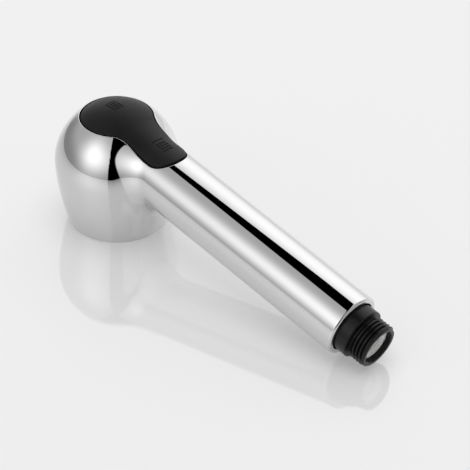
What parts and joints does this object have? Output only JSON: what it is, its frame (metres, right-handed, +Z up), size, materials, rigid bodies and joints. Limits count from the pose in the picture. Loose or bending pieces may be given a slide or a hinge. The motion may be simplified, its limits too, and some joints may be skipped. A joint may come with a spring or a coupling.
{
  "type": "pull-out spray head",
  "caption": "Hand sprayer with a domed chrome head, a tilted cylindrical handle, a black two-mode rocker on top and a black male hose thread.",
  "frame": {"origin": "centre of the spray rim, on the plane the rim lies on", "axes": "+X from the head towards the hose end, +Z up out of the dome along the head axis; XZ is the plane of symmetry"},
  "size_m": [0.1915, 0.0582, 0.0616],
  "materials": {
    "chrome": "polished",
    "rocker_black": "satin",
    "connector_black": "satin",
    "steel": "satin",
    "inner_plastic": "satin",
    "white_plastic": "satin",
    "seal_rubber": "matte",
    "face_plastic": "satin",
    "nozzle_rubber": "matte",
    "aerator_plastic": "satin"
  },
  "bodies": {
    "sprayer": {"body_shell": "chrome", "rocker_pin": "steel", "valve_body": "inner_plastic", "gland_nut": "inner_plastic", "gland_packing": "seal_rubber", "waterway_tube": "inner_plastic", "tube_orings": "seal_rubber", "inlet_connector": "connector_black", "connector_oring": "seal_rubber", "retaining_clip": "steel", "check_housing": "white_plastic", "check_oring": "seal_rubber", "check_guide": "white_plastic", "check_spring": "steel", "spray_face": "face_plastic", "nozzle_mat": "nozzle_rubber", "spray_chamber": "inner_plastic", "chamber_seals": "seal_rubber", "body_screws": "steel", "aerator_housing": "aerator_plastic", "aerator_insert": "white_plastic", "aerator_screens": "steel", "aerator_washer": "seal_rubber"},
    "rocker": {"rocker_button": "rocker_black"},
    "stem": {"diverter_stem": "white_plastic", "stem_orings": "seal_rubber", "link_pin": "steel"},
    "poppet": {"check_poppet": "white_plastic", "check_seal": "seal_rubber"}
  },
  "joints": [
    {"name": "rocker_tilt", "type": "hinge", "parent": "sprayer", "child": "rocker", "pos_m": [0.018, 0, 0.0508], "axis": [0, 1, 0], "range_deg": [0, 3.5]},
    {"name": "stem_lift", "type": "slide", "parent": "sprayer", "child": "stem", "axis": [0, 0, 1], "range_m": [0, 0.00112]},
    {"name": "check_open", "type": "slide", "parent": "sprayer", "child": "poppet", "axis": [-0.9808, 0, 0.1951], "range_m": [0, 0.0025], "stiffness_N_per_m": 60, "springref_m": -0.003, "deforming": ["check_spring"]}
  ],
  "couplings": [
    {"joint": "stem_lift", "follows": "rocker_tilt", "m_per_rad": 0.018}
  ]
}
